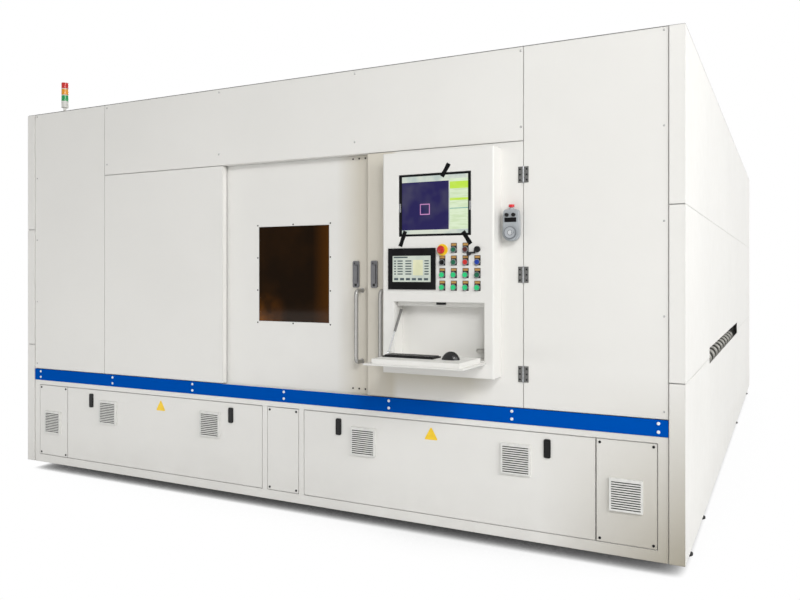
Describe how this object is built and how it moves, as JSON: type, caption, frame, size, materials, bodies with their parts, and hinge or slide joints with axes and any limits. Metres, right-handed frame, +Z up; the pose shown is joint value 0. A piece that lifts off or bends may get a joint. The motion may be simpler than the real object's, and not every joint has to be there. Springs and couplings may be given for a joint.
{
  "type": "laser etching machine",
  "caption": "Enclosed laser etching machine for sheet glass: white metal cabin with sliding and hinged doors, operator console, folding keyboard tray, wheeled conveyor and gantry scan head.",
  "frame": {"origin": "middle of the footprint, on the floor under the levelling feet", "axes": "+X to the right as seen from the front, +Y from the front to the back, +Z up"},
  "size_m": [4.33, 6.655, 2.677],
  "materials": {
    "white_paint": "powder coat, fine texture",
    "frame_paint": "painted steel tube",
    "blue_paint": "satin paint",
    "grille_plastic": "moulded",
    "black_plastic": "moulded",
    "zinc": "zinc plated",
    "stainless": "satin",
    "chrome": "bright",
    "dark_metal": "satin",
    "wheel_grey": "moulded",
    "head_grey": "anodised",
    "amber_window": "tinted acrylic",
    "screen_black": "glossy",
    "pendant_grey": "moulded",
    "rubber_black": "moulded",
    "lens_red": "translucent",
    "lens_amber": "translucent",
    "lens_green": "translucent",
    "lit_green": "lit",
    "dark_green": "unlit",
    "dark_red": "unlit",
    "lens_blue": "unlit"
  },
  "bodies": {
    "machine": {"levelling_feet": "zinc", "frame": "frame_paint", "roof_and_rear_panels": "white_paint", "side_panels": "white_paint", "front_panels": "white_paint", "accent_strip": "blue_paint", "base_front_frame": "white_paint", "base_covers": "white_paint", "louvre_grilles": "grille_plastic", "cover_latches": "black_plastic", "beacon_base": "pendant_grey", "beacon_red": "lens_red", "beacon_amber": "lens_amber", "beacon_green": "lens_green", "door_track": "zinc", "hinge_frame_leaves": "stainless", "machine_bed": "frame_paint", "conveyor_frame": "dark_metal", "conveyor_shafts": "wheel_grey"},
    "gantry": {"gantry_beam": "white_paint"},
    "carriage": {"head_carriage": "dark_metal"},
    "head": {"scan_head": "head_grey"},
    "slide_door": {"sliding_door": "white_paint", "window_pane": "amber_window", "sliding_door_handle": "stainless", "sliding_door_lock": "chrome"},
    "slide_lever": {"sliding_lock_lever": "chrome"},
    "console_door": {"hinged_door": "white_paint", "hinged_door_handle": "stainless", "hinged_door_lock": "chrome", "hinge_door_leaves": "stainless", "console_housing": "white_paint", "monitor": "screen_black", "touch_panel": "screen_black", "button_bezels": "black_plastic", "service_port": "rubber_black", "pendant": "pendant_grey"},
    "console_lever": {"hinged_lock_lever": "chrome"},
    "tray": {"keyboard_tray": "white_paint", "keyboard": "black_plastic", "mouse": "black_plastic"},
    "gas_tube": {"strut_tube": "dark_metal"},
    "gas_rod": {"strut_rod": "stainless"},
    "estop": {"emergency_stop": "lens_red"},
    "selector": {"mode_selector": "black_plastic"},
    "dial": {"pendant_wheel": "chrome"},
    "dial_stop": {"pendant_stop": "lens_red"},
    "button_green_1_cap": {"button_green_1": "dark_green"},
    "button_red_1_cap": {"button_red_1": "dark_red"},
    "button_green_2_cap": {"button_green_2": "dark_green"},
    "button_red_2_cap": {"button_red_2": "lens_red"},
    "button_blue_cap": {"button_blue": "lens_blue"},
    "button_lit_1_cap": {"button_lit_1": "lit_green"},
    "button_lit_2_cap": {"button_lit_2": "lit_green"},
    "button_lit_3_cap": {"button_lit_3": "lit_green"},
    "button_teal_cap": {"button_teal": "dark_green"},
    "button_lit_4_cap": {"button_lit_4": "lit_green"},
    "button_lit_5_cap": {"button_lit_5": "lit_green"},
    "button_lit_6_cap": {"button_lit_6": "lit_green"},
    "button_lit_7_cap": {"button_lit_7": "lit_green"}
  },
  "joints": [
    {"name": "sliding_door_slide", "type": "slide", "parent": "machine", "child": "slide_door", "axis": [-1, 0, 0], "range_m": [0, 0.87]},
    {"name": "hinged_door_swing", "type": "hinge", "parent": "machine", "child": "console_door", "pos_m": [1.423, -2.927, 1.35], "axis": [0, 0, 1], "range_deg": [0, 95]},
    {"name": "tray_fold", "type": "hinge", "parent": "console_door", "child": "tray", "pos_m": [1.015, -3.0335, 0.922], "axis": [-1, 0, 0], "range_deg": [0, 90]},
    {"name": "strut_turn", "type": "hinge", "parent": "console_door", "child": "gas_tube", "pos_m": [0.783, -2.9735, 1.167], "axis": [1, 0, 0], "range_deg": [0, 26.6]},
    {"name": "strut_stroke", "type": "slide", "parent": "gas_tube", "child": "gas_rod", "axis": [0, 0.5602, 0.8283], "range_m": [0, 0.0836]},
    {"name": "sliding_lock_lift", "type": "hinge", "parent": "slide_door", "child": "slide_lever", "pos_m": [0.459, -2.885, 1.4035], "axis": [-1, 0, 0], "range_deg": [0, 60]},
    {"name": "hinged_lock_lift", "type": "hinge", "parent": "console_door", "child": "console_lever", "pos_m": [0.598, -2.931, 1.4035], "axis": [-1, 0, 0], "range_deg": [0, 60]},
    {"name": "emergency_stop_press", "type": "slide", "parent": "console_door", "child": "estop", "axis": [0, 1, 0], "range_m": [0, 0.004], "stiffness_N_per_m": 1500},
    {"name": "mode_select", "type": "hinge", "parent": "console_door", "child": "selector", "pos_m": [1.04, -3.0345, 1.412], "axis": [0, 1, 0], "range_deg": [-45, 45]},
    {"name": "button_green_1_press", "type": "slide", "parent": "console_door", "child": "button_green_1_cap", "axis": [0, 1, 0], "range_m": [0, 0.003], "stiffness_N_per_m": 600},
    {"name": "button_red_1_press", "type": "slide", "parent": "console_door", "child": "button_red_1_cap", "axis": [0, 1, 0], "range_m": [0, 0.003], "stiffness_N_per_m": 600},
    {"name": "button_green_2_press", "type": "slide", "parent": "console_door", "child": "button_green_2_cap", "axis": [0, 1, 0], "range_m": [0, 0.003], "stiffness_N_per_m": 600},
    {"name": "button_red_2_press", "type": "slide", "parent": "console_door", "child": "button_red_2_cap", "axis": [0, 1, 0], "range_m": [0, 0.003], "stiffness_N_per_m": 600},
    {"name": "button_blue_press", "type": "slide", "parent": "console_door", "child": "button_blue_cap", "axis": [0, 1, 0], "range_m": [0, 0.003], "stiffness_N_per_m": 600},
    {"name": "button_lit_1_press", "type": "slide", "parent": "console_door", "child": "button_lit_1_cap", "axis": [0, 1, 0], "range_m": [0, 0.003], "stiffness_N_per_m": 600},
    {"name": "button_lit_2_press", "type": "slide", "parent": "console_door", "child": "button_lit_2_cap", "axis": [0, 1, 0], "range_m": [0, 0.003], "stiffness_N_per_m": 600},
    {"name": "button_lit_3_press", "type": "slide", "parent": "console_door", "child": "button_lit_3_cap", "axis": [0, 1, 0], "range_m": [0, 0.003], "stiffness_N_per_m": 600},
    {"name": "button_teal_press", "type": "slide", "parent": "console_door", "child": "button_teal_cap", "axis": [0, 1, 0], "range_m": [0, 0.003], "stiffness_N_per_m": 600},
    {"name": "button_lit_4_press", "type": "slide", "parent": "console_door", "child": "button_lit_4_cap", "axis": [0, 1, 0], "range_m": [0, 0.003], "stiffness_N_per_m": 600},
    {"name": "button_lit_5_press", "type": "slide", "parent": "console_door", "child": "button_lit_5_cap", "axis": [0, 1, 0], "range_m": [0, 0.003], "stiffness_N_per_m": 600},
    {"name": "button_lit_6_press", "type": "slide", "parent": "console_door", "child": "button_lit_6_cap", "axis": [0, 1, 0], "range_m": [0, 0.003], "stiffness_N_per_m": 600},
    {"name": "button_lit_7_press", "type": "slide", "parent": "console_door", "child": "button_lit_7_cap", "axis": [0, 1, 0], "range_m": [0, 0.003], "stiffness_N_per_m": 600},
    {"name": "pendant_wheel_turn", "type": "hinge", "parent": "console_door", "child": "dial", "pos_m": [1.372, -2.9725, 1.554], "axis": [0, 1, 0], "continuous": true},
    {"name": "pendant_stop_press", "type": "slide", "parent": "console_door", "child": "dial_stop", "axis": [0, 0, -1], "range_m": [0, 0.003], "stiffness_N_per_m": 800},
    {"name": "gantry_travel", "type": "slide", "parent": "machine", "child": "gantry", "axis": [1, 0, 0], "range_m": [-1.2, 1.2]},
    {"name": "carriage_travel", "type": "slide", "parent": "gantry", "child": "carriage", "axis": [0, 1, 0], "range_m": [-1.2, 1.2]},
    {"name": "focus_travel", "type": "slide", "parent": "carriage", "child": "head", "axis": [0, 0, 1], "range_m": [0, 0.15]}
  ],
  "couplings": [
    {"joint": "strut_turn", "follows": "tray_fold", "ratio": 0.29418},
    {"joint": "strut_stroke", "follows": "tray_fold", "m_per_rad": 0.053118}
  ]
}
